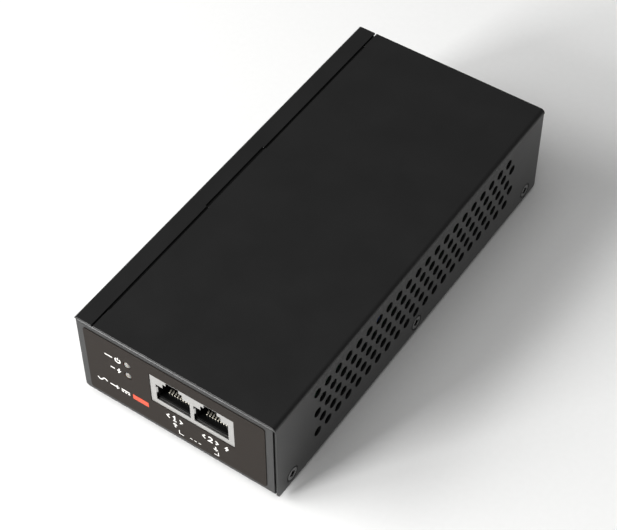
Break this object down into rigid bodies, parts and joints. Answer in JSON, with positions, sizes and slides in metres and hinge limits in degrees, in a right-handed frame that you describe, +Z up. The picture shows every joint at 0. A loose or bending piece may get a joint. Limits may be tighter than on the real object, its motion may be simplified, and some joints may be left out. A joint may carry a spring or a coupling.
{
  "type": "poe injector",
  "caption": "Mains PoE injector: folded black steel case with side vents, socket block, indicators and rear appliance inlet.",
  "frame": {"origin": "bottom centre of the object's bounding box, on the plane that the rubber feet stand on", "axes": "+Z up, -Y towards the socket end, +X to the right when the socket end is seen from the front"},
  "size_m": [0.0734, 0.1594, 0.0376],
  "materials": {
    "powder_coat": "satin black powder coat on steel sheet",
    "zinc_screw": "zinc plated",
    "black_screw": "black zinc plated",
    "rubber": "matt",
    "label_film": "matt polycarbonate film, dark brown-grey",
    "insulating_film": "translucent polypropylene",
    "circuit_board": "green solder resist",
    "black_moulding": "black glass-filled moulding",
    "white_moulding": "natural nylon",
    "tin_plate": "tin plated",
    "nickel_shield": "nickel plated",
    "gold_plate": "gold plated spring",
    "led_lens": "diffused clear lens",
    "epoxy_package": "black epoxy",
    "brown_wire": "PVC",
    "blue_wire": "PVC",
    "green_yellow_wire": "PVC",
    "blue_epoxy": "dipped epoxy",
    "green_epoxy": "dipped epoxy",
    "yellow_moulding": "moulded box",
    "ferrite": "sintered ferrite",
    "enamelled_copper": "enamelled copper",
    "yellow_tape": "polyester tape",
    "capacitor_sleeve": "heat-shrunk sleeve",
    "heatsink": "mill finish",
    "silicone_pad": "silicone"
  },
  "bodies": {
    "enclosure": {"base_chassis": "powder_coat", "top_cover": "powder_coat", "board_screws": "zinc_screw", "inlet_screws": "zinc_screw", "inlet_nuts": "zinc_screw", "earth_screw": "zinc_screw", "earth_nut": "zinc_screw", "transistor_screws": "zinc_screw", "main_standoffs": "zinc_screw", "data_standoffs": "zinc_screw", "cover_screws": "black_screw", "rubber_feet": "rubber", "front_label": "label_film", "insulating_film": "insulating_film", "main_board": "circuit_board", "data_board": "circuit_board", "link_header": "black_moulding", "jack_housing": "black_moulding", "led_holder": "black_moulding", "inlet_housing": "black_moulding", "choke_base": "black_moulding", "transformer_bobbin": "black_moulding", "mains_header": "white_moulding", "mains_plug": "white_moulding", "link_pins": "tin_plate", "contact_leads": "tin_plate", "earth_lug": "tin_plate", "jack_shield": "nickel_shield", "inlet_blades": "nickel_shield", "power_led": "led_lens", "poe_led": "led_lens", "lan_transformers": "epoxy_package", "poe_controller": "epoxy_package", "bridge_rectifier": "epoxy_package", "primary_transistor": "epoxy_package", "output_rectifier": "epoxy_package", "optocouplers": "epoxy_package", "fuse": "epoxy_package", "line_wire": "brown_wire", "neutral_wire": "blue_wire", "earth_wire": "green_yellow_wire", "varistor": "blue_epoxy", "y_capacitors": "blue_epoxy", "thermistor": "green_epoxy", "film_capacitor": "yellow_moulding", "choke_core": "ferrite", "transformer_core": "ferrite", "output_choke_core": "ferrite", "choke_windings": "enamelled_copper", "output_choke_winding": "enamelled_copper", "transformer_winding": "yellow_tape", "bulk_capacitor": "capacitor_sleeve", "output_capacitors": "capacitor_sleeve", "primary_heatsink": "heatsink", "secondary_heatsink": "heatsink", "insulating_pads": "silicone_pad"},
    "data_in_contacts": {"data_in_contacts": "gold_plate"},
    "poe_out_contacts": {"poe_out_contacts": "gold_plate"}
  },
  "joints": [
    {"name": "data_in_contacts_press", "type": "hinge", "parent": "enclosure", "child": "data_in_contacts", "pos_m": [-0.00077, -0.07643, 0.0203], "axis": [-1, 0, 0], "range_deg": [0, 10], "stiffness_Nm_per_rad": 0.02, "springref_deg": -2.86},
    {"name": "poe_out_contacts_press", "type": "hinge", "parent": "enclosure", "child": "poe_out_contacts", "pos_m": [0.0132, -0.07643, 0.0203], "axis": [-1, 0, 0], "range_deg": [0, 10], "stiffness_Nm_per_rad": 0.02, "springref_deg": -2.86}
  ]
}
